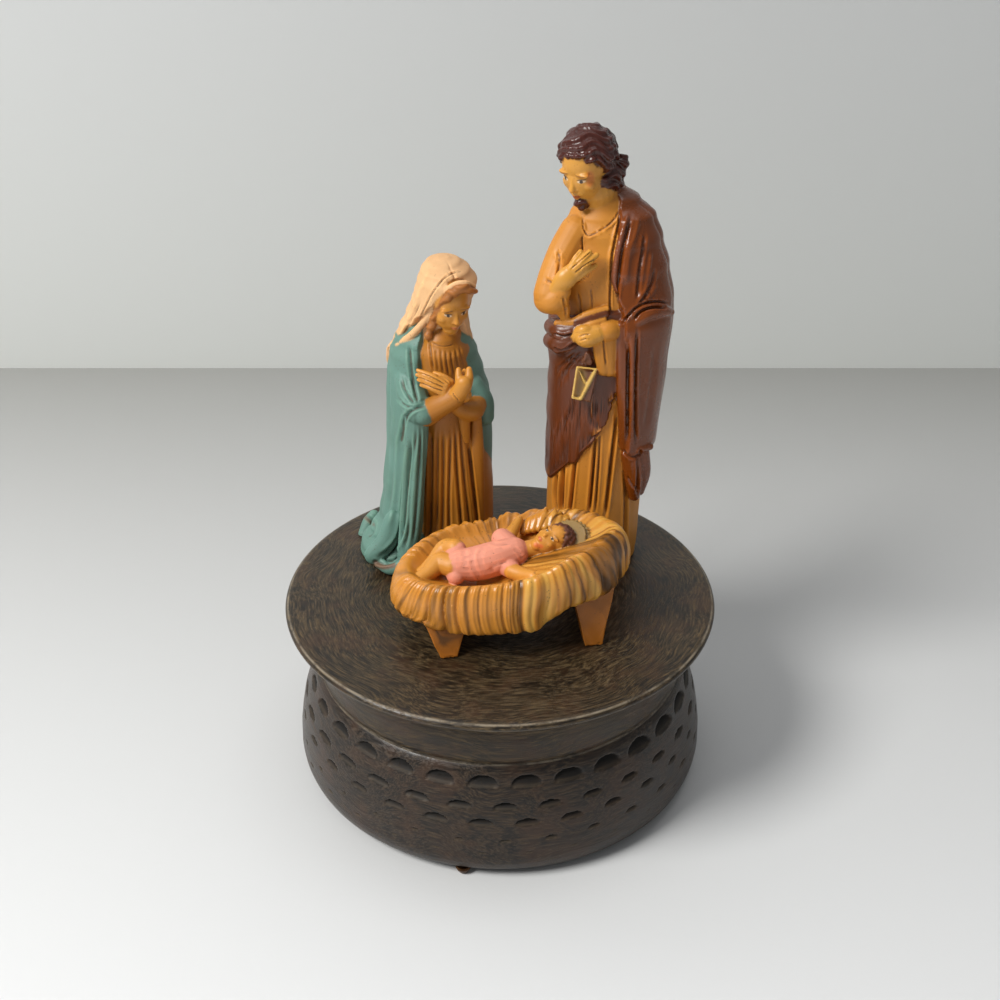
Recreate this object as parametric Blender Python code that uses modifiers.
"""Nativity music box: a turntable with three moulded figure groups on a dimpled drum.

A spring movement inside the drum turns the plate. Metres, +Z up, standing on z = 0.
"""
import math

import bmesh
import bpy
from mathutils import Matrix, Vector

MM = 0.001
SEAT_GAP = 0.3 * MM

# Turntable: the plate and its neck are one moulding.
PLATE_RADIUS = 60.0 * MM
PLATE_TOP = 53.3 * MM
PLATE_THICKNESS = 2.7 * MM
RIM_HEIGHT = 2.1 * MM
RIM_EDGE = 0.5 * MM
NECK_FOOT_RADIUS = 51.7 * MM
NECK_WALL = 2.4 * MM
TABLE_GAP = 0.3 * MM
HUB_RADIUS = 7.0 * MM
HUB_LENGTH = 9.6 * MM

# Drum housing
DRUM_TOP = 33.7 * MM
DRUM_BOTTOM = 2.6 * MM
DRUM_BELLY_RADIUS = 58.6 * MM
DRUM_FOOT_RADIUS = DRUM_BELLY_RADIUS - 1.4 * MM
DRUM_WALL = 2.8 * MM
DECK_RISE = 6.3 * MM
DECK_RADIUS = NECK_FOOT_RADIUS - NECK_WALL - 1.4 * MM
DECK_THICKNESS = 1.8 * MM
BOSS_RADIUS = 4.0 * MM
BOSS_CIRCLE = DRUM_FOOT_RADIUS - DRUM_WALL - 6.4 * MM
BOSS_COUNT = 3
BOSS_START_DEG = 60.0

# Gouged dimples: height on the drum and width of each row, top row first
DIMPLES_PER_ROW = 30
DIMPLE_ROWS = ((28.9 * MM, 7.7 * MM), (22.9 * MM, 6.4 * MM), (18.1 * MM, 5.1 * MM), (13.3 * MM, 3.6 * MM))
DIMPLE_DEPTH = 1.25 * MM
DIMPLE_SLOPE_DEG = 24.0

# Feet, bottom cover and its screws
FOOT_RADIUS = 2.15 * MM
FOOT_FLAT_RADIUS = 1.2 * MM
FOOT_STEM_RADIUS = 0.7 * MM
FOOT_STEM_LENGTH = 5.0 * MM
FOOT_START_DEG = 260.0
FOOT_COUNT = 3
COVER_THICKNESS = 2.0 * MM
RECESS_RADIUS = 16.0 * MM
RECESS_CEILING = 9.3 * MM
RECESS_WALL = 1.6 * MM
SCREW_RADIUS = 1.2 * MM
SCREW_HEAD_RADIUS = 2.4 * MM
SCREW_HEAD_HEIGHT = 1.2 * MM
SCREW_LENGTH = 7.0 * MM
COVER_SINK = 0.6 * MM

# Movement
BEDPLATE_BOTTOM = 12.0 * MM
BEDPLATE_THICKNESS = 2.0 * MM
BEDPLATE_X = (-22.0 * MM, 42.0 * MM)
BEDPLATE_HALF_WIDTH = 22.0 * MM
MOVEMENT_SCREW_PLACES = ((-18.0 * MM, 18.0 * MM), (-18.0 * MM, -18.0 * MM),
                         (38.0 * MM, -18.0 * MM), (24.0 * MM, 18.0 * MM))
POST_RADIUS = 3.0 * MM
ARBOR_RADIUS = 1.8 * MM
KEY_WING_LENGTH = 26.0 * MM
KEY_WING_THICKNESS = 2.2 * MM
KEY_HUB_RADIUS = 3.4 * MM
KEY_FLOOR_GAP = 0.8 * MM

BARREL_RADIUS = 15.0 * MM
BARREL_HEIGHT = 7.0 * MM
BARREL_WALL = 1.5 * MM
CROWN_TEETH = 36
CROWN_INNER_RADIUS = 12.0 * MM
CROWN_OUTER_RADIUS = 14.6 * MM
CROWN_TOOTH_HEIGHT = 1.2 * MM
CROWN_TOOTH_TAPER = 0.35
SPRING_THICKNESS = 0.6 * MM
SPRING_TURNS = 4
SPINDLE_RADIUS = 3.0 * MM
SPINDLE_FLANGE_RADIUS = 6.0 * MM
SPINDLE_FLANGE_HEIGHT = 1.5 * MM

CYLINDER_RADIUS = 6.2 * MM
CYLINDER_LENGTH = 16.0 * MM
CYLINDER_START_X = 17.0 * MM
CYLINDER_TRACKS = 18
PIN_HEIGHT = 0.5 * MM
PINS_PER_TRACK = 2
CYLINDER_SHAFT_RADIUS = 1.2 * MM
CYLINDER_PINION_TEETH = 12
CYLINDER_PINION_TIP_RADIUS = 5.0 * MM
CYLINDER_PINION_ROOT_RADIUS = 3.7 * MM
CYLINDER_WHEEL_TEETH = 36
CYLINDER_WHEEL_TIP_RADIUS = 7.9 * MM
CYLINDER_WHEEL_ROOT_RADIUS = 7.0 * MM
WHEEL_THICKNESS = 1.2 * MM
GOVERNOR_PINION_TEETH = 9
GOVERNOR_PINION_TIP_RADIUS = 2.3 * MM
GOVERNOR_PINION_ROOT_RADIUS = 1.3 * MM
GOVERNOR_SHAFT_RADIUS = 0.7 * MM
WORM_WHEEL_TEETH = 20
WORM_WHEEL_TIP_RADIUS = 4.6 * MM
WORM_WHEEL_ROOT_RADIUS = 3.8 * MM
WORM_RADIUS = 1.2 * MM
FAN_RADIUS = 2.8 * MM
FAN_HEIGHT = 3.0 * MM
FRAME_THICKNESS = 1.2 * MM
COMB_THICKNESS = 1.0 * MM
COMB_TOOTH_LENGTH = 8.0 * MM
COMB_DEPTH = 14.5 * MM

# Figures: height of each above the plate, and where its base centre stands on it
MOTHER_HEIGHT = 89.3 * MM
MOTHER_PLACE = (-20.0 * MM, 24.0 * MM)
FATHER_HEIGHT = 125.4 * MM
FATHER_PLACE = (28.0 * MM, 21.0 * MM)
MANGER_LENGTH = 63.0 * MM
MANGER_PLACE = (3.0 * MM, -14.5 * MM)
MANGER_TURN_DEG = 10.0
FIGURE_FACES = 2100
MANGER_FACES = 2300

# Sizes that the ones above settle
BEDPLATE_TOP = BEDPLATE_BOTTOM + BEDPLATE_THICKNESS
BARREL_BOTTOM = BEDPLATE_TOP + 1.0 * MM
BARREL_TOP = BARREL_BOTTOM + BARREL_HEIGHT
CROWN_TIP = BARREL_TOP + CROWN_TOOTH_HEIGHT
AXLE_Z = BARREL_TOP + CYLINDER_PINION_TIP_RADIUS + 0.2 * MM
CYLINDER_END_X = CYLINDER_START_X + CYLINDER_LENGTH
GOVERNOR_Y = CYLINDER_WHEEL_TIP_RADIUS + GOVERNOR_PINION_ROOT_RADIUS + 0.275 * MM
WORM_Y = GOVERNOR_Y + WORM_WHEEL_TIP_RADIUS + WORM_RADIUS
WHEEL_X = CYLINDER_END_X + 1.0 * MM
WORM_X = WHEEL_X + WHEEL_THICKNESS + 2.2 * MM
FRAME_X = WORM_X + FAN_RADIUS + 0.2 * MM
FRAME_TOP = DRUM_TOP + DECK_RISE - DECK_THICKNESS - 0.6 * MM
COVER_TOP = DRUM_BOTTOM + COVER_THICKNESS
DRUM_BORE = DRUM_FOOT_RADIUS - DRUM_WALL

# Materials: base colour, roughness, metallic
FINISHES = {
    "drum_plastic": ((0.055, 0.045, 0.034), 0.55, 0.0),
    "brass": ((0.45, 0.28, 0.12), 0.35, 1.0),
    "steel": ((0.45, 0.45, 0.46), 0.3, 1.0),
    "zinc": ((0.35, 0.35, 0.36), 0.45, 1.0),
    "blue_paint": ((0.10, 0.26, 0.25), 0.45, 0.0),
    "ochre_paint": ((0.62, 0.30, 0.075), 0.4, 0.0),
    "straw_paint": ((0.60, 0.32, 0.08), 0.45, 0.0),
}


def clear_scene():
    for old in list(bpy.data.objects):
        bpy.data.objects.remove(old, do_unlink=True)


def new_collection(name):
    collection = bpy.data.collections.new(name)
    bpy.context.scene.collection.children.link(collection)
    return collection


clear_scene()
PART = new_collection("nativity_music_box")
CUTTERS = new_collection("cutters")


def finish(name):
    """One Principled material for each finish, made the first time it is asked for."""
    found = bpy.data.materials.get(name)
    if found:
        return found
    colour, roughness, metallic = FINISHES[name]
    material = bpy.data.materials.new(name)
    material.use_nodes = True
    shader = material.node_tree.nodes["Principled BSDF"]
    shader.inputs["Base Color"].default_value = (*colour, 1.0)
    shader.inputs["Roughness"].default_value = roughness
    shader.inputs["Metallic"].default_value = metallic
    return material


def place(name, data, finish_name, location=(0, 0, 0), rotation=(0, 0, 0), cutter=False):
    """A new object, linked as a part or as a cutter."""
    obj = bpy.data.objects.new(name, data)
    obj.location = location
    obj.rotation_euler = rotation
    if cutter:
        CUTTERS.objects.link(obj)
        obj.hide_render = True
        obj.display_type = "WIRE"
        return obj
    PART.objects.link(obj)
    data.materials.append(finish(finish_name))
    return obj


def mesh_from(bm, name):
    mesh = bpy.data.meshes.new(name)
    bmesh.ops.recalc_face_normals(bm, faces=bm.faces)
    bm.to_mesh(mesh)
    bm.free()
    return mesh


def turned(name, profile, finish_name, steps=64, closed=True, **placing):
    """A profile of (radius, height) turned round Z; it runs down its outer side."""
    bm = bmesh.new()
    verts = [bm.verts.new((radius, 0, height)) for radius, height in profile]
    for first, second in zip(verts, verts[1:]):
        bm.edges.new((first, second))
    if closed:
        bm.edges.new((verts[-1], verts[0]))
    mesh = bpy.data.meshes.new(name)
    bm.to_mesh(mesh)
    bm.free()
    obj = place(name, mesh, finish_name, **placing)
    screw = obj.modifiers.new("turn", "SCREW")
    screw.steps = steps
    screw.render_steps = steps
    screw.use_merge_vertices = True
    screw.merge_threshold = 0.00001
    screw.use_smooth_shade = True
    return obj


def rod(name, radius, bottom, top, finish_name, steps=20, **placing):
    profile = [(0, top), (radius, top), (radius, bottom), (0, bottom)]
    return turned(name, profile, finish_name, steps, closed=False, **placing)


def add_rod(bm, radius, bottom, top, centre=(0, 0), segments=20):
    matrix = Matrix.Translation((centre[0], centre[1], (bottom + top) / 2))
    bmesh.ops.create_cone(bm, cap_ends=True, segments=segments, radius1=radius, radius2=radius,
                          depth=top - bottom, matrix=matrix)


def add_rod_x(bm, radius, start, end, y, z, segments=20):
    matrix = Matrix.Translation(((start + end) / 2, y, z)) @ Matrix.Rotation(math.pi / 2, 4, "Y")
    bmesh.ops.create_cone(bm, cap_ends=True, segments=segments, radius1=radius, radius2=radius,
                          depth=end - start, matrix=matrix)


def add_box(bm, x, y, z):
    """A box between the two values given for each axis."""
    size = Vector((x[1] - x[0], y[1] - y[0], z[1] - z[0]))
    centre = Vector((x[0] + x[1], y[0] + y[1], z[0] + z[1])) / 2
    bmesh.ops.create_cube(bm, size=1, matrix=Matrix.Translation(centre) @ Matrix.Diagonal((*size, 1)))


def combine(obj, other_bm, operation, name):
    """Join or cut obj with the closed bodies in a bmesh."""
    tool = place(name, mesh_from(other_bm, name), None, cutter=True)
    boolean = obj.modifiers.new(name, "BOOLEAN")
    boolean.operation = operation
    boolean.solver = "EXACT"
    boolean.use_self = operation == "UNION"
    boolean.object = tool
    return obj


def around(count, start_deg, radius):
    """Places spaced evenly on a circle, as (x, y)."""
    for index in range(count):
        angle = math.radians(start_deg + 360 * index / count)
        yield radius * math.cos(angle), radius * math.sin(angle)


# Housing

def drum_outline():
    """Outer side of the drum, top to bottom, as (radius, height)."""
    return [
        (NECK_FOOT_RADIUS, DRUM_TOP),
        (NECK_FOOT_RADIUS + 1.9 * MM, DRUM_TOP - 3.0 * MM),
        (DRUM_BELLY_RADIUS - 3.0 * MM, DRUM_TOP - 8.4 * MM),
        (DRUM_BELLY_RADIUS - 0.8 * MM, DRUM_TOP - 17.4 * MM),
        (DRUM_BELLY_RADIUS, DRUM_BOTTOM + 4.7 * MM),
        (DRUM_BELLY_RADIUS - 0.6 * MM, DRUM_BOTTOM + 1.7 * MM),
        (DRUM_FOOT_RADIUS, DRUM_BOTTOM),
    ]


def outline_radius(height):
    outline = drum_outline()
    for (r_high, high), (r_low, low) in zip(outline, outline[1:]):
        if low <= height <= high:
            share = (height - low) / (high - low)
            return r_low + share * (r_high - r_low)
    return outline[0][0]


def outline_lean(low, high):
    """How far the drum's side leans back between two heights, as an angle."""
    return math.atan2(outline_radius(low) - outline_radius(high), high - low)


def dimple_cutter():
    """One tilted disc for each gouge: a sharp arc at the top and a floor that runs out below."""
    bm = bmesh.new()
    reach = 6.0 * MM
    for row, (height, width) in enumerate(DIMPLE_ROWS):
        radius = width / 2
        slope = outline_lean(height, height + radius) + math.radians(DIMPLE_SLOPE_DEG)
        depth = DIMPLE_DEPTH * width / DIMPLE_ROWS[0][1]
        floor = outline_radius(height + radius) - depth + radius * math.sin(slope)
        for index in range(DIMPLES_PER_ROW):
            turn = 2 * math.pi * (index + 0.5 * (row % 2)) / DIMPLES_PER_ROW - math.pi / 2
            matrix = (Matrix.Rotation(turn, 4, "Z") @ Matrix.Translation((floor, 0, height))
                      @ Matrix.Rotation(math.pi / 2 - slope, 4, "Y")
                      @ Matrix.Translation((0, 0, reach / 2)))
            bmesh.ops.create_cone(bm, cap_ends=True, segments=8, radius1=radius, radius2=radius,
                                  depth=reach, matrix=matrix)
    return bm


def make_drum():
    deck_top = DRUM_TOP + DECK_RISE
    deck_under = deck_top - DECK_THICKNESS
    wall_under = DRUM_TOP - DRUM_WALL + 0.3 * MM
    hole = SPINDLE_RADIUS + 0.4 * MM
    well = DECK_RADIUS - 1.7 * MM
    profile = [(hole, deck_top), (DECK_RADIUS, deck_top), (DECK_RADIUS, DRUM_TOP)]
    profile += drum_outline()
    profile += [
        (DRUM_BORE, DRUM_BOTTOM),
        (DRUM_BORE - 2.0 * MM, DRUM_TOP - 8.7 * MM),
        (NECK_FOOT_RADIUS - 2.1 * MM, wall_under),
        (well, wall_under + 0.8 * MM),
        (well, deck_under),
        (hole, deck_under),
    ]
    drum = turned("drum_housing", profile, "drum_plastic", 60)
    bosses = bmesh.new()
    holes = dimple_cutter()
    for x, y in around(BOSS_COUNT, BOSS_START_DEG, BOSS_CIRCLE):
        add_rod(bosses, BOSS_RADIUS, COVER_TOP + SEAT_GAP, wall_under + 1.2 * MM, (x, y), 16)
        add_rod(holes, SCREW_RADIUS + SEAT_GAP, 0, COVER_TOP + SCREW_LENGTH, (x, y), 10)
    for x, y in foot_places():
        add_rod(holes, FOOT_STEM_RADIUS + 0.2 * MM, 0, DRUM_BOTTOM + FOOT_STEM_LENGTH + SEAT_GAP, (x, y), 8)
    combine(drum, bosses, "UNION", "drum_bosses")
    combine(drum, holes, "DIFFERENCE", "drum_holes_and_dimples")
    return drum


def foot_places():
    return around(FOOT_COUNT, FOOT_START_DEG, (DRUM_BORE + DRUM_FOOT_RADIUS) / 2)


def make_feet():
    """Domed tacks pressed into the drum's lower rim, each with a small flat to stand on."""
    top = DRUM_BOTTOM - SEAT_GAP
    profile = [(0, DRUM_BOTTOM + FOOT_STEM_LENGTH), (FOOT_STEM_RADIUS, DRUM_BOTTOM + FOOT_STEM_LENGTH),
               (FOOT_STEM_RADIUS, top), (FOOT_RADIUS - 0.2 * MM, top), (FOOT_RADIUS, top - 0.5 * MM),
               (FOOT_RADIUS - 0.3 * MM, top - 1.3 * MM), (FOOT_FLAT_RADIUS, 0), (0, 0)]
    for index, (x, y) in enumerate(foot_places()):
        turned(f"foot_{index + 1}", profile, "brass", 16, closed=False, location=(x, y, 0))


def make_screws(name, places, head_start, head_height, shank_end):
    """One turned pan-head screw at each place; a screw driven from below has its head under its shank."""
    profile = [(0, head_start), (SCREW_HEAD_RADIUS, head_start),
               (SCREW_HEAD_RADIUS, head_start - head_height),
               (SCREW_RADIUS, head_start - head_height), (SCREW_RADIUS, shank_end), (0, shank_end)]
    if shank_end > head_start:
        profile = [(radius, height) for radius, height in reversed(profile)]
    for index, (x, y) in enumerate(places):
        turned(f"{name}_{index + 1}", profile, "steel", 12, closed=False, location=(x, y, 0))


def make_cover():
    top = COVER_TOP
    ceiling_top = RECESS_CEILING + RECESS_WALL
    hole = ARBOR_RADIUS + 1.4 * MM
    profile = [(hole, ceiling_top), (RECESS_RADIUS + RECESS_WALL, ceiling_top),
               (RECESS_RADIUS + RECESS_WALL, top), (DRUM_BORE - SEAT_GAP, top),
               (DRUM_BORE - SEAT_GAP, DRUM_BOTTOM), (RECESS_RADIUS, DRUM_BOTTOM),
               (RECESS_RADIUS, RECESS_CEILING), (hole, RECESS_CEILING)]
    cover = turned("bottom_cover", profile, "drum_plastic", 40)
    posts = bmesh.new()
    holes = bmesh.new()
    sinks = bmesh.new()
    for x, y in MOVEMENT_SCREW_PLACES:
        add_rod(posts, POST_RADIUS, top - 0.5 * MM, BEDPLATE_BOTTOM - SEAT_GAP, (x, y), 12)
        add_rod(holes, SCREW_RADIUS + SEAT_GAP, BEDPLATE_TOP - SCREW_LENGTH, BEDPLATE_TOP, (x, y), 10)
    for x, y in around(BOSS_COUNT, BOSS_START_DEG, BOSS_CIRCLE):
        add_rod(holes, SCREW_RADIUS + SEAT_GAP, 0, top + MM, (x, y), 10)
        add_rod(sinks, SCREW_HEAD_RADIUS + SEAT_GAP, 0, DRUM_BOTTOM + COVER_THICKNESS / 2, (x, y), 16)
    combine(cover, posts, "UNION", "cover_posts")
    combine(cover, holes, "DIFFERENCE", "cover_holes")
    combine(cover, sinks, "DIFFERENCE", "cover_sinks")
    seat = DRUM_BOTTOM + COVER_THICKNESS / 2 - SEAT_GAP
    make_screws("cover_screw", around(BOSS_COUNT, BOSS_START_DEG, BOSS_CIRCLE), seat - COVER_SINK,
                -COVER_SINK,
                COVER_TOP + SCREW_LENGTH - SEAT_GAP)


# Turntable and its drive

def make_turntable():
    neck_foot = DRUM_TOP + TABLE_GAP
    rim_low = PLATE_TOP - RIM_HEIGHT
    under = PLATE_TOP - PLATE_THICKNESS
    bore = SPINDLE_RADIUS + SEAT_GAP
    inner = NECK_FOOT_RADIUS - NECK_WALL
    profile = [
        (0, PLATE_TOP),
        (PLATE_RADIUS - RIM_EDGE, PLATE_TOP),
        (PLATE_RADIUS, PLATE_TOP - RIM_EDGE),
        (PLATE_RADIUS, rim_low + RIM_EDGE),
        (PLATE_RADIUS - RIM_EDGE, rim_low),
        (PLATE_RADIUS - 2.2 * MM, rim_low - 1.4 * MM),
        (PLATE_RADIUS - 4.4 * MM, rim_low - 5.0 * MM),
        (NECK_FOOT_RADIUS + 1.9 * MM, rim_low - 9.4 * MM),
        (NECK_FOOT_RADIUS + 0.7 * MM, rim_low - 13.4 * MM),
        (NECK_FOOT_RADIUS, neck_foot),
        (inner, neck_foot),
        (inner + 1.4 * MM, neck_foot + 6.0 * MM),
        (inner + 3.7 * MM, neck_foot + 12.0 * MM),
        (inner + 4.3 * MM, under),
        (HUB_RADIUS, under),
        (HUB_RADIUS, under - HUB_LENGTH),
        (bore, under - HUB_LENGTH),
        (bore, spindle_top() + SEAT_GAP),
        (0, spindle_top() + SEAT_GAP),
    ]
    turned("turntable", profile, "drum_plastic", 54, closed=False)


def spindle_top():
    return PLATE_TOP - PLATE_THICKNESS - 2.6 * MM


def make_spindle():
    seat = BARREL_TOP + SEAT_GAP
    shoulder = seat + SPINDLE_FLANGE_HEIGHT
    profile = [(0, spindle_top()), (SPINDLE_RADIUS, spindle_top()), (SPINDLE_RADIUS, shoulder),
               (SPINDLE_FLANGE_RADIUS, shoulder), (SPINDLE_FLANGE_RADIUS, seat), (0, seat)]
    turned("turntable_spindle", profile, "steel", 24, closed=False)


def make_barrel():
    """Spring barrel: a cup that opens downward, with crown teeth raised on its top face."""
    bm = bmesh.new()
    wall = BARREL_RADIUS - BARREL_WALL
    roof = BARREL_TOP - BARREL_WALL
    profile = [(0, BARREL_TOP), (CROWN_INNER_RADIUS, BARREL_TOP), (CROWN_OUTER_RADIUS, BARREL_TOP),
               (BARREL_RADIUS, BARREL_TOP), (BARREL_RADIUS, BARREL_BOTTOM), (wall, BARREL_BOTTOM),
               (wall, roof), (0, roof)]
    verts = [bm.verts.new((radius, 0, height)) for radius, height in profile]
    edges = [bm.edges.new(pair) for pair in zip(verts, verts[1:])]
    half_tooth = math.pi / (2 * CROWN_TEETH)
    bmesh.ops.rotate(bm, verts=verts, cent=(0, 0, 0), matrix=Matrix.Rotation(half_tooth, 3, "Z"))
    bmesh.ops.spin(bm, geom=verts + edges, cent=(0, 0, 0), axis=(0, 0, 1), angle=2 * math.pi,
                   steps=2 * CROWN_TEETH, use_merge=True)
    bmesh.ops.remove_doubles(bm, verts=bm.verts, dist=0.00001)
    bmesh.ops.recalc_face_normals(bm, faces=bm.faces)
    crown_middle = (CROWN_INNER_RADIUS + CROWN_OUTER_RADIUS) / 2
    teeth = []
    for face in bm.faces:
        centre = face.calc_center_median()
        on_crown = abs(centre.z - BARREL_TOP) < 0.01 * MM and abs(centre.xy.length - crown_middle) < 0.5 * MM
        sector = round(math.atan2(centre.y, centre.x) / (2 * half_tooth))
        if on_crown and sector % 2 == 0:
            teeth.append(face)
    for face in bmesh.ops.extrude_discrete_faces(bm, faces=teeth)["faces"]:
        middle = face.calc_center_median()
        along = Vector((middle.x, middle.y, 0)).normalized()
        across = Vector((-along.y, along.x, 0))
        for vert in face.verts:
            offset = vert.co - middle
            vert.co = middle + along * offset.dot(along) + across * offset.dot(across) * CROWN_TOOTH_TAPER
            vert.co.z = CROWN_TIP
    place("spring_barrel", mesh_from(bm, "spring_barrel"), "brass")
    hole = ARBOR_RADIUS + SEAT_GAP
    lid_radius = wall - SEAT_GAP
    lid_top = BARREL_BOTTOM + MM
    turned("barrel_lid", [(hole, lid_top), (lid_radius, lid_top), (lid_radius, BARREL_BOTTOM),
                          (hole, BARREL_BOTTOM)], "brass", 40)


def flat_piece(name, outlines, low, high, finish_name, cutter=False):
    """A flat piece from closed outlines in XY: the first is its edge, the others are holes."""
    curve = bpy.data.curves.new(name, "CURVE")
    curve.dimensions = "2D"
    curve.fill_mode = "BOTH"
    curve.extrude = (high - low) / 2
    for outline in outlines:
        spline = curve.splines.new("POLY")
        spline.points.add(len(outline) - 1)
        for point, (x, y) in zip(spline.points, outline):
            point.co = (x, y, 0, 1)
        spline.use_cyclic_u = True
    return place(name, curve, finish_name, location=(0, 0, (low + high) / 2), cutter=cutter)


def circle(radius, count=16):
    return [(radius * math.cos(2 * math.pi * i / count), radius * math.sin(2 * math.pi * i / count))
            for i in range(count)]


def gear_outline(teeth, root, tip, root_share, tip_share, phase):
    """Straight-sided teeth; the shares are of one tooth's angle, and phase turns the first tooth."""
    step = 2 * math.pi / teeth
    points = []
    for index in range(teeth):
        middle = phase + index * step
        for radius, offset in ((root, -root_share), (tip, -tip_share), (tip, tip_share),
                               (root, root_share)):
            angle = middle + offset * step / 2
            points.append((radius * math.cos(angle), radius * math.sin(angle)))
    return points


def gear_on_x(name, outline, bore, start, end, y, finish_name):
    """A gear whose axle lies along X: its outline's first axis points up and its second along +Y."""
    upright = [(b, a) for a, b in outline]
    obj = flat_piece(name, [upright, circle(bore)], start, end, finish_name)
    obj.location = ((start + end) / 2, y, AXLE_Z)
    obj.rotation_euler = Matrix(((0, 0, 1), (1, 0, 0), (0, 1, 0))).to_euler()
    return obj


def make_mainspring():
    outer = BARREL_RADIUS - BARREL_WALL - SEAT_GAP - SPRING_THICKNESS
    inner = ARBOR_RADIUS + SEAT_GAP
    count = SPRING_TURNS * 18
    spiral = []
    for index in range(count + 1):
        share = index / count
        spiral.append((2 * math.pi * SPRING_TURNS * share, inner + (outer - inner) * share))
    inside = [(radius * math.cos(angle), radius * math.sin(angle)) for angle, radius in spiral]
    outside = [((radius + SPRING_THICKNESS) * math.cos(angle),
                (radius + SPRING_THICKNESS) * math.sin(angle))
               for angle, radius in reversed(spiral)]
    flat_piece("mainspring", [inside + outside], BARREL_BOTTOM + MM + SEAT_GAP,
               BARREL_TOP - BARREL_WALL - SEAT_GAP, "steel")


def make_winding():
    rod("winding_arbor", ARBOR_RADIUS, DRUM_BOTTOM + KEY_FLOOR_GAP + 1.6 * MM,
        BARREL_TOP - BARREL_WALL - SEAT_GAP, "steel")
    low = DRUM_BOTTOM + KEY_FLOOR_GAP
    high = RECESS_CEILING - SEAT_GAP
    key = rod("winding_key", KEY_HUB_RADIUS, low, high, "steel", 24)
    wings = bmesh.new()
    half = KEY_WING_LENGTH / 2
    add_box(wings, (-half, half), (-KEY_WING_THICKNESS / 2, KEY_WING_THICKNESS / 2), (low, high - 0.6 * MM))
    ends = [e for e in wings.edges if abs(e.verts[0].co.x - e.verts[1].co.x) < 0.01 * MM
            and abs(e.verts[0].co.z - e.verts[1].co.z) < 0.01 * MM]
    bmesh.ops.bevel(wings, geom=ends, offset=2.0 * MM, segments=3, profile=0.5, affect="EDGES")
    bore = bmesh.new()
    add_rod(bore, ARBOR_RADIUS + SEAT_GAP, low + 1.3 * MM, high + MM)
    combine(key, wings, "UNION", "key_wings")
    combine(key, bore, "DIFFERENCE", "key_bore")


# Movement

def make_bedplate():
    x_low, x_high = BEDPLATE_X
    half = BEDPLATE_HALF_WIDTH
    corner = 4.0 * MM
    edge = [(x_low + corner, -half), (x_high - corner, -half), (x_high, -half + corner),
            (x_high, half - corner), (x_high - corner, half), (x_low + corner, half),
            (x_low, half - corner), (x_low, -half + corner)]
    holes = [circle(ARBOR_RADIUS + SEAT_GAP)]
    for x, y in MOVEMENT_SCREW_PLACES:
        holes.append([(x + a, y + b) for a, b in circle(SCREW_RADIUS + SEAT_GAP, 12)])
    flat_piece("movement_bedplate", [edge] + holes, BEDPLATE_BOTTOM, BEDPLATE_TOP, "zinc")
    head_top = BEDPLATE_TOP + SEAT_GAP + SCREW_HEAD_HEIGHT
    make_screws("movement_screw", MOVEMENT_SCREW_PLACES, head_top, SCREW_HEAD_HEIGHT,
                BEDPLATE_TOP + SEAT_GAP - SCREW_LENGTH + SEAT_GAP)


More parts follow.
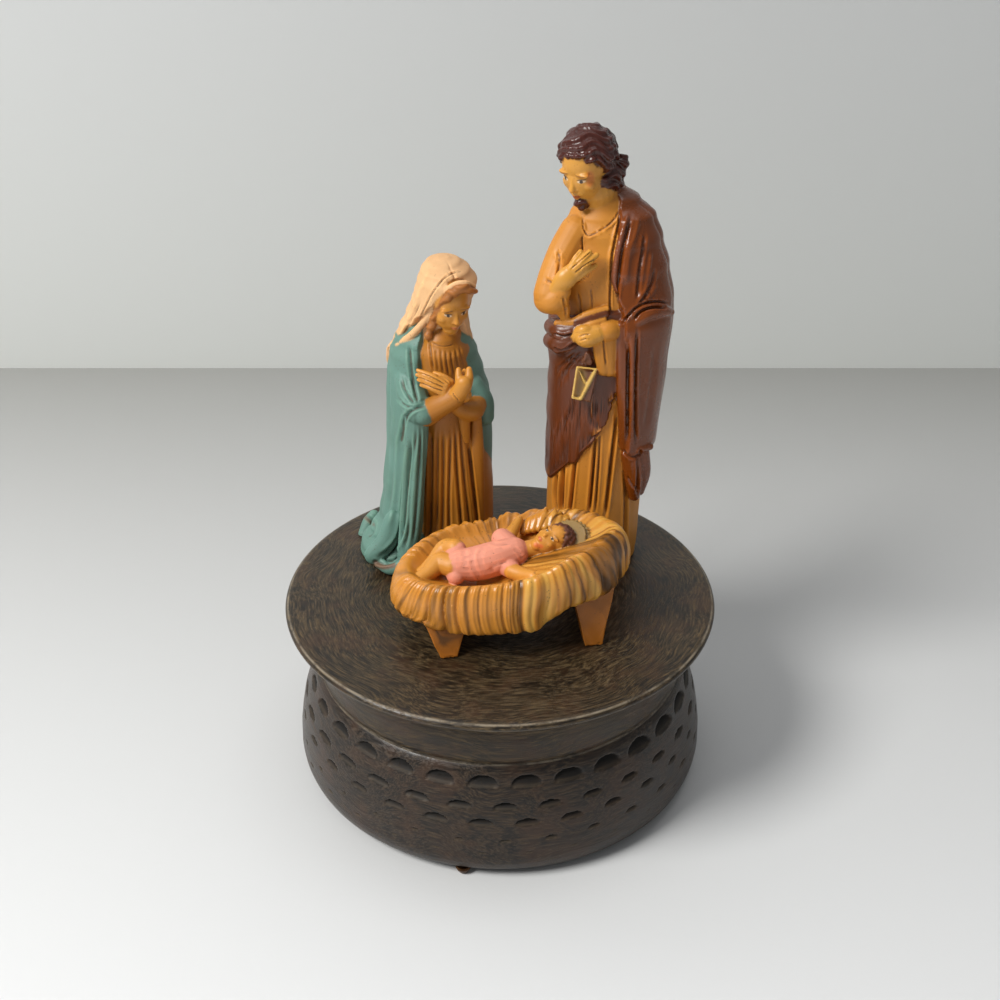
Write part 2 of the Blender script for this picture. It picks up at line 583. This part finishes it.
def make_cylinder():
    along_x = (0, math.pi / 2, 0)
    bore = CYLINDER_SHAFT_RADIUS + SEAT_GAP
    half = CYLINDER_LENGTH / 2
    middle_x = CYLINDER_START_X + half
    cylinder = turned("pinned_cylinder", [(bore, half), (CYLINDER_RADIUS, half), (CYLINDER_RADIUS, -half),
                                          (bore, -half)], "brass", 24,
                      location=(middle_x, 0, AXLE_Z), rotation=along_x)
    pins = bmesh.new()
    track_pitch = CYLINDER_LENGTH / CYLINDER_TRACKS
    for track in range(CYLINDER_TRACKS):
        x = CYLINDER_START_X + track_pitch * (track + 0.5)
        for index in range(PINS_PER_TRACK):
            turn = math.radians(137.5 * track + 360 * index / PINS_PER_TRACK + 11 * (index % 2))
            lift = CYLINDER_RADIUS + PIN_HEIGHT / 2 - 0.15 * MM
            matrix = (Matrix.Translation((x, 0, AXLE_Z)) @ Matrix.Rotation(turn, 4, "X")
                      @ Matrix.Translation((0, 0, lift)))
            bmesh.ops.create_cone(pins, cap_ends=True, segments=4, radius1=0.25 * MM, radius2=0.15 * MM,
                                  depth=PIN_HEIGHT + 0.3 * MM, matrix=matrix)
    combine(cylinder, pins, "UNION", "cylinder_pins")
    shaft_length = FRAME_X + FRAME_THICKNESS + 0.5 * MM - (CROWN_INNER_RADIUS - MM)
    rod("cylinder_shaft", CYLINDER_SHAFT_RADIUS, 0, shaft_length, "steel", 16,
        location=(CROWN_INNER_RADIUS - MM, 0, AXLE_Z), rotation=along_x)
    half_step = math.pi / CYLINDER_PINION_TEETH
    pinion = gear_outline(CYLINDER_PINION_TEETH, CYLINDER_PINION_ROOT_RADIUS, CYLINDER_PINION_TIP_RADIUS,
                          0.42, 0.14, math.pi + half_step)
    gear_on_x("cylinder_pinion", pinion, bore, CROWN_INNER_RADIUS - 0.2 * MM, CROWN_OUTER_RADIUS + 0.2 * MM,
              0, "brass")
    wheel = gear_outline(CYLINDER_WHEEL_TEETH, CYLINDER_WHEEL_ROOT_RADIUS, CYLINDER_WHEEL_TIP_RADIUS,
                         0.44, 0.18, math.pi / 2)
    gear_on_x("cylinder_wheel", wheel, bore, WHEEL_X, WHEEL_X + WHEEL_THICKNESS, 0, "brass")
    bracket = bmesh.new()
    near = BARREL_RADIUS + 0.4 * MM
    far = CYLINDER_START_X - 0.4 * MM
    foot_z = BEDPLATE_TOP + SEAT_GAP
    add_box(bracket, (near, far), (-3.5 * MM, 3.5 * MM), (foot_z, AXLE_Z + 3.0 * MM))
    obj = place("cylinder_bracket", mesh_from(bracket, "cylinder_bracket"), "zinc")
    foot = bmesh.new()
    add_box(foot, (near, near + 8 * MM), (-3.5 * MM, 3.5 * MM), (foot_z, foot_z + FRAME_THICKNESS))
    hole = bmesh.new()
    add_rod_x(hole, bore, near - MM, far + MM, 0, AXLE_Z)
    combine(obj, foot, "UNION", "bracket_foot")
    combine(obj, hole, "DIFFERENCE", "bracket_bore")


def make_comb():
    tip_y = -(CYLINDER_RADIUS + PIN_HEIGHT + SEAT_GAP)
    root_y = tip_y - COMB_TOOTH_LENGTH
    back_y = tip_y - COMB_DEPTH
    pitch = CYLINDER_LENGTH / CYLINDER_TRACKS
    half_tooth = 0.3 * MM
    outline = [(CYLINDER_END_X, back_y), (CYLINDER_END_X, root_y)]
    for track in reversed(range(CYLINDER_TRACKS)):
        x = CYLINDER_START_X + pitch * (track + 0.5)
        outline += [(x + half_tooth, root_y), (x + half_tooth, tip_y), (x - half_tooth, tip_y),
                    (x - half_tooth, root_y)]
    outline += [(CYLINDER_START_X, root_y), (CYLINDER_START_X, back_y)]
    screw_y = (root_y + back_y) / 2
    places = [(CYLINDER_START_X + CYLINDER_LENGTH * share, screw_y) for share in (0.22, 0.78)]
    holes = [[(x + a, y + b) for a, b in circle(SCREW_RADIUS + SEAT_GAP, 12)] for x, y in places]
    low = AXLE_Z - COMB_THICKNESS / 2
    flat_piece("comb", [outline] + holes, low, low + COMB_THICKNESS, "steel")
    edge = [(CYLINDER_START_X, back_y), (CYLINDER_END_X, back_y), (CYLINDER_END_X, root_y - MM),
            (CYLINDER_START_X, root_y - MM)]
    flat_piece("comb_base", [edge] + holes, BEDPLATE_TOP + SEAT_GAP, low - SEAT_GAP, "zinc")
    head_top = low + COMB_THICKNESS + SEAT_GAP + SCREW_HEAD_HEIGHT
    make_screws("comb_screw", places, head_top, SCREW_HEAD_HEIGHT,
                head_top - SCREW_HEAD_HEIGHT - SCREW_LENGTH)


def make_governor():
    foot_z = BEDPLATE_TOP + SEAT_GAP
    out = FRAME_X + FRAME_THICKNESS
    cheek_x = WHEEL_X - 2.4 * MM
    side_y = WORM_Y + 2.6 * MM
    cheek_y = CYLINDER_RADIUS + PIN_HEIGHT + 1.2 * MM
    frame = bmesh.new()
    add_box(frame, (FRAME_X, out), (-4.0 * MM, side_y), (foot_z, FRAME_TOP))
    obj = place("governor_frame", mesh_from(frame, "governor_frame"), "zinc")
    arms = bmesh.new()
    add_box(arms, (cheek_x, out - 0.2 * MM), (cheek_y, side_y), (foot_z, foot_z + FRAME_THICKNESS))
    top_arm = bmesh.new()
    add_box(top_arm, (WORM_X - 2 * MM, out - 0.2 * MM), (WORM_Y - 2.4 * MM, side_y),
            (FRAME_TOP - FRAME_THICKNESS, FRAME_TOP))
    cheek = bmesh.new()
    add_box(cheek, (cheek_x, cheek_x + FRAME_THICKNESS), (cheek_y, GOVERNOR_Y + 3 * MM),
            (foot_z, AXLE_Z + 3 * MM))
    holes = bmesh.new()
    pivot = GOVERNOR_SHAFT_RADIUS + 0.2 * MM
    add_rod_x(holes, pivot, cheek_x - MM, out + MM, GOVERNOR_Y, AXLE_Z, 12)
    add_rod_x(holes, CYLINDER_SHAFT_RADIUS + SEAT_GAP, FRAME_X - MM, out + MM, 0, AXLE_Z, 16)
    pivots = bmesh.new()
    add_rod(pivots, pivot, foot_z - MM, foot_z + 2 * MM, (WORM_X, WORM_Y), 12)
    add_rod(pivots, pivot, FRAME_TOP - 2 * MM, FRAME_TOP + MM, (WORM_X, WORM_Y), 12)
    combine(obj, arms, "UNION", "frame_foot")
    combine(obj, top_arm, "UNION", "frame_top_arm")
    combine(obj, cheek, "UNION", "frame_cheek")
    combine(obj, holes, "DIFFERENCE", "frame_bores")
    combine(obj, pivots, "DIFFERENCE", "frame_pivots")

    shaft_bore = GOVERNOR_SHAFT_RADIUS + 0.2 * MM
    rod("governor_arbor", GOVERNOR_SHAFT_RADIUS, 0, out + 0.3 * MM - cheek_x, "steel", 12,
        location=(cheek_x, GOVERNOR_Y, AXLE_Z), rotation=(0, math.pi / 2, 0))
    half_step = math.pi / GOVERNOR_PINION_TEETH
    pinion = gear_outline(GOVERNOR_PINION_TEETH, GOVERNOR_PINION_ROOT_RADIUS, GOVERNOR_PINION_TIP_RADIUS,
                          0.5, 0.16, -math.pi / 2 + half_step)
    gear_on_x("governor_pinion", pinion, shaft_bore, WHEEL_X - 0.2 * MM,
              WHEEL_X + WHEEL_THICKNESS + 0.2 * MM,
              GOVERNOR_Y, "brass")
    worm_wheel = gear_outline(WORM_WHEEL_TEETH, WORM_WHEEL_ROOT_RADIUS, WORM_WHEEL_TIP_RADIUS, 0.5, 0.3, 0)
    gear_on_x("worm_wheel", worm_wheel, shaft_bore, WORM_X - MM, WORM_X + MM, GOVERNOR_Y, "brass")

    worm_half = 4.0 * MM
    shaft_top = FRAME_TOP - 0.1 * MM
    worm = turned("governor_worm", [
        (0, shaft_top), (GOVERNOR_SHAFT_RADIUS, shaft_top), (GOVERNOR_SHAFT_RADIUS, AXLE_Z + worm_half),
        (WORM_RADIUS - 0.1 * MM, AXLE_Z + worm_half), (WORM_RADIUS - 0.1 * MM, AXLE_Z - worm_half),
        (GOVERNOR_SHAFT_RADIUS, AXLE_Z - worm_half), (GOVERNOR_SHAFT_RADIUS, foot_z + 0.1 * MM),
        (0, foot_z + 0.1 * MM)], "steel", 12, closed=False, location=(WORM_X, WORM_Y, 0))
    fan = bmesh.new()
    fan_top = FRAME_TOP - FRAME_THICKNESS - 0.6 * MM
    add_box(fan, (WORM_X - FAN_RADIUS, WORM_X + FAN_RADIUS), (WORM_Y - 0.3 * MM, WORM_Y + 0.3 * MM),
            (fan_top - FAN_HEIGHT, fan_top))
    combine(worm, fan, "UNION", "governor_fan")


# Figures: soft closed forms, drawn in millimetres, are joined by a voxel remesh into one moulding

def between(stations, height):
    """Smooth values between stations, each (height, value, value, ...), lowest station first."""
    if height <= stations[0][0]:
        return stations[0][1:]
    for low, high in zip(stations, stations[1:]):
        if height <= high[0]:
            share = (height - low[0]) / (high[0] - low[0])
            share = share * share * (3 - 2 * share)
            return tuple(a + (b - a) * share for a, b in zip(low[1:], high[1:]))
    return stations[-1][1:]


def ramp(value, start, end):
    share = min(1.0, max(0.0, (value - start) / (end - start)))
    return share * share * (3 - 2 * share)


def add_wrap(bm, form, low, high, segments=48, rings=24):
    """A closed skin: form(angle, height) gives the point at an angle round Z from the front (-Y)."""
    grid = bmesh.ops.create_grid(bm, x_segments=segments, y_segments=rings, size=1)["verts"]
    for vert in grid:
        angle = math.pi * vert.co.x
        height = low + (high - low) * (vert.co.y + 1) / 2
        vert.co = form(angle, height)
    bmesh.ops.remove_doubles(bm, verts=grid, dist=0.001)
    rims = [e for e in bm.edges if e.is_boundary]
    bmesh.ops.holes_fill(bm, edges=rims, sides=0)


def add_robe(bm, stations, low, high, swell=None, segments=48, rings=24):
    """A robe through elliptical stations (height, centre x, centre y, half width, half depth)."""
    def form(angle, height):
        x, y, wide, deep = between(stations, height)
        extra = swell(angle, height) if swell else 0
        return (x + (wide + extra) * math.sin(angle), y - (deep + extra) * math.cos(angle), height)
    add_wrap(bm, form, low, high, segments, rings)


def add_ball(bm, centre, radii, turn=None, segments=20):
    matrix = Matrix.Translation(centre) @ (turn or Matrix()) @ Matrix.Diagonal((*radii, 1))
    bmesh.ops.create_uvsphere(bm, u_segments=segments, v_segments=segments // 2, radius=1, matrix=matrix)


def add_limb(bm, points, radii, squash=1.0, segments=12):
    """A tapered tube with round ends through the points; squash flattens it along its own depth."""
    path = [Vector(point) for point in points]
    spans = len(path) - 1
    rings = spans * 6

    def form(angle, along):
        share = min(max(along, 0), 1) * spans
        index = min(int(share), spans - 1)
        part = share - index
        centre = path[index].lerp(path[index + 1], part)
        radius = radii[index] + (radii[index + 1] - radii[index]) * part
        heading = (path[index + 1] - path[index]).normalized()
        if 0 < part < 1 and index + 2 <= spans:
            heading = heading.lerp((path[index + 2] - path[index + 1]).normalized(),
                                   part * 0.5).normalized()
        side = heading.cross(Vector((0, -1, 0.2))).normalized()
        front = side.cross(heading)
        end = min(share, spans - share) / (0.18 * spans)
        radius *= math.sqrt(1 - (1 - min(1, end)) ** 2) * 0.9 + 0.1
        return centre + side * radius * math.cos(angle) + front * radius * squash * math.sin(angle)
    add_wrap(bm, form, 0, 1, segments, rings)


def add_block(bm, centre, size, turn=None):
    matrix = Matrix.Translation(centre) @ (turn or Matrix()) @ Matrix.Diagonal((*size, 1))
    bmesh.ops.create_cube(bm, size=1, matrix=matrix)


def moulded(name, bm, finish_name, place_on_plate, turn_deg, scale, voxel, faces):
    """Join the forms into one closed moulding, smooth it, thin it out and stand it on the plate."""
    matrix = (Matrix.Translation((*place_on_plate, PLATE_TOP + SEAT_GAP))
              @ Matrix.Rotation(math.radians(turn_deg), 4, "Z") @ Matrix.Scale(scale * MM, 4))
    bmesh.ops.transform(bm, verts=bm.verts, matrix=matrix)
    obj = place(name, mesh_from(bm, name), finish_name)
    remesh = obj.modifiers.new("join", "REMESH")
    remesh.mode = "VOXEL"
    remesh.voxel_size = voxel
    obj.data = settled_mesh(obj)
    obj.modifiers.clear()
    keep_outer_skin(obj.data)
    smooth = obj.modifiers.new("soften", "SMOOTH")
    smooth.factor = 0.5
    smooth.iterations = 1
    thin = obj.modifiers.new("thin_out", "DECIMATE")
    thin.ratio = faces / (2 * len(obj.data.polygons))
    obj.data = settled_mesh(obj)
    obj.modifiers.clear()
    flatten_base(obj.data, PLATE_TOP + SEAT_GAP)
    return obj


def settled_mesh(obj):
    """The object's mesh as its modifiers make it."""
    bpy.context.view_layer.update()
    depsgraph = bpy.context.evaluated_depsgraph_get()
    return bpy.data.meshes.new_from_object(obj.evaluated_get(depsgraph), depsgraph=depsgraph)


def keep_outer_skin(mesh):
    """A remesh leaves a skin round each trapped hollow: only the skin with the most vertices stays."""
    bm = bmesh.new()
    bm.from_mesh(mesh)
    left = set(bm.verts)
    skins = []
    while left:
        skin = set()
        edge = [left.pop()]
        while edge:
            vert = edge.pop()
            skin.add(vert)
            for link in vert.link_edges:
                other = link.other_vert(vert)
                if other in left:
                    left.remove(other)
                    edge.append(other)
        skins.append(skin)
    skins.sort(key=len)
    inner = [vert for skin in skins[:-1] for vert in skin]
    bmesh.ops.delete(bm, geom=inner, context="VERTS")
    bm.to_mesh(mesh)
    bm.free()


def flatten_base(mesh, height):
    """Bring the lowest vertices to one flat, so that the figure stands square on the plate."""
    lowest = min(vert.co.z for vert in mesh.vertices)
    for vert in mesh.vertices:
        if vert.co.z < lowest + 0.35 * MM:
            vert.co.z = height
        else:
            vert.co.z = max(vert.co.z, height)


# Mother figure: a veiled head, a mantle open at the front over a pleated tunic, crossed hands

MOTHER_MANTLE = ((0, -1, -2, 20.3, 16), (2.5, -1.2, -2, 19.6, 15.6), (6, 0, -1, 17.8, 14.4),
                 (11, 1.2, 0, 16.2, 13.5),
                 (20, 2, 0, 15.5, 13), (36, 2.9, 0, 14.8, 12.5), (50, 2.8, 0, 14.3, 12.2),
                 (56, 2.2, 0, 13.3, 11.8),
                 (62, 1.8, 0, 12, 11), (66, 1.7, 0.5, 10.4, 10), (70, 2, 1, 8, 8.5), (73, 2.5, 1, 6, 7))
MOTHER_TUNIC = ((0, 7, -2, 11, 11.5), (20, 7.5, -1.2, 10.5, 11), (40, 7, -1, 9.5, 11),
                (55, 5.5, -1, 8.5, 10),
                (64, 4.5, -2, 7.5, 9.3), (68, 4.2, -2.5, 5.5, 7), (71, 4.5, -3, 4, 4.5))
MOTHER_VEIL = ((50, 1.5, 2, 14.1, 12.7), (55, 1, 2, 13.4, 12.2), (60.3, 0.9, 1.5, 12.7, 11.2),
               (65.3, 1.7, 1, 10.7, 10.2),
               (69, 2.2, 0.5, 9.5, 9.6), (73, 3, 0, 8.3, 9.5), (77, 4.3, -1, 8.1, 9.6),
               (80, 5.2, -1.5, 8.1, 10),
               (83.3, 6, -2, 8, 10), (86.2, 5.6, -2, 6.6, 8.6), (88.3, 5, -1.5, 4.6, 5.6),
               (89.3, 5, -1.5, 1.5, 1.5))
# Front edges, as (height, left angle, right angle) in degrees from the front
MANTLE_OPENING = ((0, -14, 62), (16, -14, 66), (30, -10, 64), (45, -8, 60), (52, -10, 52), (62, -16, 46),
                  (70, -18, 40))
VEIL_OPENING = ((50, -120, 175), (60, -100, 120), (64, -84, 85), (69.6, -60, 64), (73, -49, 58),
                (75.8, -33, 58), (79.6, -16, 56), (83, -3, 52), (85.3, 8, 44), (86, 24, 26))


def inside_opening(opening, angle, height, edge=3.0):
    """1 within an opening's two front edges, 0 outside them."""
    left, right = between(opening, height)
    degrees = math.degrees(angle)
    return ramp(degrees, left - edge, left + edge) * (1 - ramp(degrees, right - edge, right + edge))


def pleats(angle, count, depth, phase=0.0):
    """Rounded folds with narrow valleys."""
    return depth * (2 * abs(math.sin(angle * count / 2 + phase)) ** 0.7 - 1)


def make_mother():
    scale = MOTHER_HEIGHT / (89.3 * MM)
    bm = bmesh.new()

    def mantle_swell(angle, height):
        folds = pleats(angle, 11, 0.55, 0.6) * (1 - ramp(height, 38, 56)) * ramp(height, 0, 10)
        return folds - 2.4 * inside_opening(MANTLE_OPENING, angle, height)

    def veil_swell(angle, height):
        return -2.2 * inside_opening(VEIL_OPENING, angle, height, 4)
    add_robe(bm, MOTHER_MANTLE, 0, 72, mantle_swell, 64, 40)
    add_robe(bm, MOTHER_TUNIC, 0, 71, lambda angle, height: pleats(angle, 16, 0.5), 64, 30)
    add_robe(bm, MOTHER_VEIL, 50, 89.3, veil_swell, 48, 30)
    add_ball(bm, (6.6, -4.6, 78.4), (6.3, 6.9, 8.2))
    add_ball(bm, (9.3, -11.2, 76.4), (1.1, 1.5, 1.9))
    add_limb(bm, [(-7, -6, 56), (-3, -12, 49), (3, -14, 51), (7.6, -15.6, 55.4)], [4.6, 4.8, 3.6, 2.7])
    add_limb(bm, [(14, -6, 57), (14, -12, 50), (8, -14.5, 52.5)], [4.2, 4.4, 3.2])
    for index, (x, z) in enumerate(((-2.0, 63.6), (-2.2, 61.8), (-1.7, 60.0), (-0.6, 58.4))):
        add_limb(bm, [(7.2, -15.8, 57.6 - 0.5 * index), (2.4, -14.8, (57.6 - 0.5 * index + z) / 2),
                      (x, -13.2, z)],
                 [1.5, 1.15, 0.85], segments=8)
    add_limb(bm, [(8.0, -16.2, 55.8), (9.6, -16.6, 60), (9.4, -14.6, 64.3)], [2.4, 2.3, 1.0], segments=8)
    add_limb(bm, [(8.6, -16.2, 57), (11, -15.8, 61), (11.4, -14.0, 64.6)], [1.9, 1.8, 0.9], segments=8)
    moulded("mother_figure", bm, "blue_paint", MOTHER_PLACE, 0, scale, 0.75 * MM * scale, FIGURE_FACES)


# Father figure: bowed head, one hand on the chest, mantle over the left arm, lantern in the left hand

FATHER_TUNIC = ((0, -1.5, 0, 13.2, 11.2), (10, -1.2, 0, 13.2, 11.2), (25, -1, 0, 13.3, 11),
                (45, -0.7, 0, 13.2, 11),
                (60, -0.5, 0, 13, 11), (75, -0.5, 0, 13, 11), (85, -0.4, 0, 13, 10.8),
                (92, -1, 0.5, 12.2, 10.5),
                (97, -1.5, 0.8, 10.8, 9.6), (101, -1.5, 1.2, 8.6, 8), (104.5, -1.5, 1.4, 6.3, 6.4),
                (107.5, -2, 1.0, 4.6, 4.8))
FATHER_MANTLE = ((34, 2, 0, 13.6, 13.0), (40, 2, 0, 14.0, 13.6), (60, 2.2, 0, 15.0, 14.4),
                 (74, 2.6, 0, 15.5, 14.8),
                 (79, 2.6, 0, 15.3, 13.6), (88, 2.0, 0.4, 14.2, 12.2), (95, 1.2, 0.8, 12.9, 11.2),
                 (101, 0.8, 1.4, 11.3, 9.6), (105, 0.2, 2.2, 8.0, 7.0), (108, -0.4, 2.6, 4.5, 4.5))
FATHER_WRAP = ((25, -0.9, 0, 14.1, 11.9), (45, -0.7, 0, 14.2, 12), (62, -0.6, 0, 14.0, 12.1),
               (67, -0.6, 0, 14.6, 12.6), (73, -0.6, 0, 14.2, 12.4), (80, -0.6, 0, 13.7, 12))
# The mantle's front edge over the left arm, as (height, angle): it covers from there round the back
FATHER_MANTLE_EDGE = ((34, 24), (40, 19), (60, 13), (76, 5), (88, -6), (100, 6), (108, 20))
WRAP_LOW_EDGE = ((-180, 40), (-75, 26), (-30, 37), (-14, 43), (-3, 46), (16, 56), (60, 60), (180, 60))
WRAP_TOP_EDGE = ((-180, 76), (-75, 75), (0, 79), (60, 80), (180, 80))


def make_father():
    scale = FATHER_HEIGHT / (125.4 * MM)
    bm = bmesh.new()

    def tunic_swell(angle, height):
        return pleats(angle, 17, 0.6, 0.4) * (1 - ramp(height, 55, 70))

    def mantle_swell(angle, height):
        edge = between(FATHER_MANTLE_EDGE, height)[0]
        degrees = math.degrees(angle)
        covered = ramp(degrees, edge - 2.5, edge + 2.5) + (1 - ramp(degrees, -122, -112))
        folds = pleats(angle, 9, 0.45, 1.1) * ramp(degrees, edge, edge + 10)
        return folds - 3.6 * (1 - min(1, covered))

    def wrap_swell(angle, height):
        degrees = math.degrees(angle)
        low = between(WRAP_LOW_EDGE, degrees)[0]
        top = between(WRAP_TOP_EDGE, degrees)[0]
        covered = ramp(height, low - 0.8, low + 0.8) * (1 - ramp(height, top - 0.8, top + 0.8))
        return -1.6 * (1 - covered)
    add_robe(bm, FATHER_TUNIC, 0, 107.5, tunic_swell, 68, 40)
    add_robe(bm, FATHER_MANTLE, 37, 108, mantle_swell, 64, 44)
    add_robe(bm, FATHER_WRAP, 25, 80, wrap_swell, 64, 44)
    add_limb(bm, [(9.5, -9.5, 40), (10, -10, 32), (8.6, -10, 24)], [3.8, 3.6, 2.2], segments=10)
    add_limb(bm, [(-1.4, 1.6, 100), (-2.6, 0.2, 107), (-5, -2, 112)], [5.4, 4.7, 4.6])
    add_ball(bm, (-7, -4, 115.4), (7.4, 8.2, 9.6), Matrix.Rotation(math.radians(38), 4, "Z"))
    add_ball(bm, (-5.2, -2.2, 118.2), (8.0, 8.3, 7.3), Matrix.Rotation(math.radians(38), 4, "Z"))
    add_ball(bm, (1.2, 1.6, 113.2), (4.4, 4.2, 3.4))
    add_ball(bm, (-8.6, -10.6, 108.2), (2.4, 2.4, 2.9))
    add_ball(bm, (-11.6, -11.2, 114.2), (1.3, 1.6, 2.0))
    add_limb(bm, [(-9.5, 0, 97), (-14.2, -3, 89), (-15.2, -6, 80.5)], [4.8, 5.0, 4.4])
    add_limb(bm, [(-15, -6, 79.5), (-14.6, -10, 81.6), (-12.6, -12, 84.8)], [4.2, 4.0, 3.0])
    for index, (x, z) in enumerate(((-7.6, 96.4), (-5.4, 97.0), (-3.6, 95.4), (-3.8, 91.9))):
        start = (-12.0 + 0.5 * index, -12.8, 87.2 - 0.7 * index)
        add_limb(bm, [start, ((start[0] + x) / 2, -13.1, (start[2] + z) / 2), (x, -12.4, z)],
                 [1.7, 1.25, 0.95], segments=8)
    add_ball(bm, (-6.2, -14.6, 75.2), (3.3, 2.6, 2.3))
    add_limb(bm, [(6, -11.5, 74), (0, -13.2, 73.5), (-3.2, -14, 74.6)], [5.4, 4.2, 2.6])
    add_limb(bm, [(0.2, -13, 74), (0.6, -12.8, 66), (1.2, -12.4, 58.6)], [3.4, 3.2, 1.4], squash=0.8)
    tilt = Matrix.Rotation(math.radians(8), 4, "Y")
    add_block(bm, (-6.2, -13.7, 61.2), (5.4, 3.2, 9.4), tilt)
    add_limb(bm, [(-6.6, -14.2, 66), (-6.2, -14.4, 68.5), (-5.9, -14.2, 71.5)], [1.5, 1.1, 1.1], segments=8)
    moulded("father_figure", bm, "ochre_paint", FATHER_PLACE, 0, scale, 0.75 * MM * scale, FIGURE_FACES)


# Manger: a tilted oval of straw on four splayed board legs, with the infant lying in it

def make_manger():
    scale = MANGER_LENGTH / (63 * MM)
    bm = bmesh.new()
    half_length, half_width = 31.5, 20.0

    def straw(angle, height):
        reach, lift = between(((0, 0.72, 8.4), (0.12, 0.93, 10.2), (0.3, 1.0, 13), (0.52, 0.985, 17),
                               (0.72, 0.88, 20.2),
                               (0.86, 0.74, 19.2), (1.0, 0.5, 15.5)), height)
        ridge = pleats(angle, 38, 0.35) * ramp(height, 0.15, 0.3) * (1 - ramp(height, 0.85, 0.95))
        along = math.sin(angle) * (half_length * reach + ridge)
        across = -math.cos(angle) * (half_width * reach + ridge)
        risen = ramp(height, 0.1, 0.4)
        tilt = risen * (3.0 * math.sin(angle) + 1 - math.cos(angle))
        return (along, across, lift + tilt)
    add_wrap(bm, straw, 0, 1, 76, 14)
    add_robe(bm, ((5.6, 0, 0, 20, 11.5), (9, 0, 0, 25, 15), (14, 0, 0, 27, 17)), 6.6, 14, None, 40, 6)
    for side_x in (-1, 1):
        for side_y in (-1, 1):
            top = Vector((side_x * 19.5, side_y * 10.0, 10.5))
            foot = Vector((side_x * 21.5, side_y * 12.6, 0.0))
            add_leg(bm, top, foot, 9.5, 4.2, 3.6)
    add_limb(bm, [(-9.5, -1, 17.6), (-1, 0, 19.8), (8, 1, 20.2)], [6.0, 6.6, 5.4], squash=0.9)
    add_ball(bm, (15.5, 2.4, 22.6), (6.0, 5.8, 5.8))
    add_ball(bm, (17.6, 2.8, 23.4), (5.6, 5.9, 5.6))
    add_ball(bm, (21.5, 3.4, 21.6), (2.2, 7.0, 6.6))
    add_limb(bm, [(-9, -3, 18), (-16, -2, 21.5), (-22, -5, 17.6)], [3.8, 3.2, 2.2])
    add_limb(bm, [(-9, 3, 18), (-17, 6, 19.6), (-24, 4, 17.8)], [3.6, 3.0, 2.0])
    add_limb(bm, [(7, -4, 21), (8, -9, 21.4), (11.5, -12, 20.6)], [3.0, 2.4, 1.8])
    add_limb(bm, [(7, 5, 21), (6, 10, 22), (9, 14, 22.6)], [3.0, 2.4, 1.8])
    moulded("manger_with_infant", bm, "straw_paint", MANGER_PLACE, MANGER_TURN_DEG, scale,
            0.75 * MM * scale, MANGER_FACES)


def add_leg(bm, top, foot, top_width, foot_width, depth):
    """A board leg that tapers to its foot."""
    made = bmesh.ops.create_cube(bm, size=1)["verts"]
    for vert in made:
        upper = vert.co.z > 0
        centre = top if upper else foot
        width = top_width if upper else foot_width
        vert.co = Vector((centre.x + vert.co.x * width, centre.y + vert.co.y * depth, centre.z))


make_drum()
make_feet()
make_cover()
make_turntable()
make_spindle()
make_barrel()
make_mainspring()
make_winding()
make_bedplate()
make_cylinder()
make_comb()
make_governor()
make_mother()
make_father()
make_manger()
